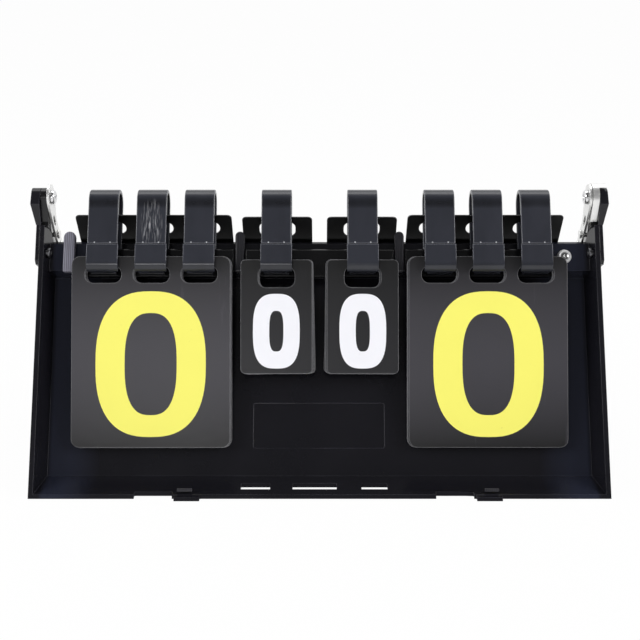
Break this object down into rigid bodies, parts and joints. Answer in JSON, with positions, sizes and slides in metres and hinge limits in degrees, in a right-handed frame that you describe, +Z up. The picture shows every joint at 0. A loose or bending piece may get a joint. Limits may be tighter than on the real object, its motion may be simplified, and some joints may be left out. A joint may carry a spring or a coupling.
{
  "type": "tabletop scoreboard",
  "caption": "A-frame flip-card scoreboard that folds into a flat case, with score and set cards hung on rings and turned over by hand",
  "frame": {"origin": "centre of the A-frame's footprint, on the table", "axes": "+X along the hinge to the right as seen from the front, +Y to the rear tray, +Z up"},
  "size_m": [0.3956, 0.2116, 0.1881],
  "materials": {
    "charcoal_plastic": "fine satin moulded plastic",
    "black_plastic": "plain moulded plastic",
    "ring_plastic": "satin moulded plastic",
    "card_sheet": "satin sheet with printed digits",
    "galvanised_steel": "zinc plated sheet",
    "blackened_steel": "black oxide",
    "chrome": "bright plated"
  },
  "bodies": {
    "root": {"front_tray": "charcoal_plastic", "ear_left": "charcoal_plastic", "ear_right": "charcoal_plastic", "ear_cap_left": "blackened_steel", "ear_cap_right": "galvanised_steel", "pivot_screw_left": "chrome", "pivot_screw_right": "chrome", "pivot_nut_left": "galvanised_steel", "pivot_nut_right": "galvanised_steel", "ear_screw_left": "blackened_steel", "ear_screw_right": "blackened_steel", "ring_bar_left": "black_plastic", "ring_bar_middle": "black_plastic", "ring_bar_right": "black_plastic", "ring_1_upper": "ring_plastic", "ring_1_lower": "ring_plastic", "ring_2_upper": "ring_plastic", "ring_2_lower": "ring_plastic", "ring_3_upper": "ring_plastic", "ring_3_lower": "ring_plastic", "ring_4_upper": "ring_plastic", "ring_4_lower": "ring_plastic", "ring_5_upper": "ring_plastic", "ring_5_lower": "ring_plastic", "ring_6_upper": "ring_plastic", "ring_6_lower": "ring_plastic", "ring_7_upper": "ring_plastic", "ring_7_lower": "ring_plastic", "ring_8_upper": "ring_plastic", "ring_8_lower": "ring_plastic", "post_left": "black_plastic", "post_centre_left": "black_plastic", "post_centre_right": "black_plastic", "cup_washer": "chrome", "washer_screw": "chrome", "stack_left_score": "card_sheet", "stack_left_set": "card_sheet", "stack_right_set": "card_sheet", "stack_right_score": "card_sheet"},
    "rear_tray": {"rear_tray": "charcoal_plastic", "hinge_bracket_left": "galvanised_steel", "hinge_bracket_right": "galvanised_steel", "bracket_rivet_left_upper": "galvanised_steel", "bracket_rivet_left_lower": "galvanised_steel", "bracket_rivet_right_upper": "galvanised_steel", "bracket_rivet_right_lower": "galvanised_steel"},
    "front_card_left_score": {"card_left_score": "card_sheet"},
    "rear_card_left_score": {"rear_card_left_score": "card_sheet"},
    "front_card_left_set": {"card_left_set": "card_sheet"},
    "rear_card_left_set": {"rear_card_left_set": "card_sheet"},
    "front_card_right_set": {"card_right_set": "card_sheet"},
    "rear_card_right_set": {"rear_card_right_set": "card_sheet"},
    "front_card_right_score": {"card_right_score": "card_sheet"},
    "rear_card_right_score": {"rear_card_right_score": "card_sheet"}
  },
  "joints": [
    {"name": "case_fold", "type": "hinge", "parent": "root", "child": "rear_tray", "pos_m": [0, 0, 0.1785], "axis": [1, 0, 0], "range_deg": [0, 300], "deforming": ["rear_card_left_score", "rear_card_left_set", "rear_card_right_set", "rear_card_right_score"]},
    {"name": "flip_left_score", "type": "hinge", "parent": "root", "child": "front_card_left_score", "pos_m": [-0.1148, -0.01442, 0.13833], "axis": [1, 0, 0], "range_deg": [-90, 0]},
    {"name": "flip_left_set", "type": "hinge", "parent": "root", "child": "front_card_left_set", "pos_m": [-0.0294, -0.01545, 0.13754], "axis": [1, 0, 0], "range_deg": [-90, 0]},
    {"name": "flip_right_set", "type": "hinge", "parent": "root", "child": "front_card_right_set", "pos_m": [0.0294, -0.01545, 0.13754], "axis": [1, 0, 0], "range_deg": [-90, 0]},
    {"name": "flip_right_score", "type": "hinge", "parent": "root", "child": "front_card_right_score", "pos_m": [0.1148, -0.01442, 0.13833], "axis": [1, 0, 0], "range_deg": [-90, 0]},
    {"name": "flip_rear_left_score", "type": "hinge", "parent": "rear_tray", "child": "rear_card_left_score", "pos_m": [-0.1148, -0.00515, 0.16802], "axis": [-1, 0, 0], "range_deg": [-150, 0]},
    {"name": "flip_rear_left_set", "type": "hinge", "parent": "rear_tray", "child": "rear_card_left_set", "pos_m": [-0.0294, -0.00465, 0.16716], "axis": [-1, 0, 0], "range_deg": [-150, 0]},
    {"name": "flip_rear_right_set", "type": "hinge", "parent": "rear_tray", "child": "rear_card_right_set", "pos_m": [0.0294, -0.00465, 0.16716], "axis": [-1, 0, 0], "range_deg": [-150, 0]},
    {"name": "flip_rear_right_score", "type": "hinge", "parent": "rear_tray", "child": "rear_card_right_score", "pos_m": [0.1148, -0.00515, 0.16802], "axis": [-1, 0, 0], "range_deg": [-150, 0]}
  ]
}
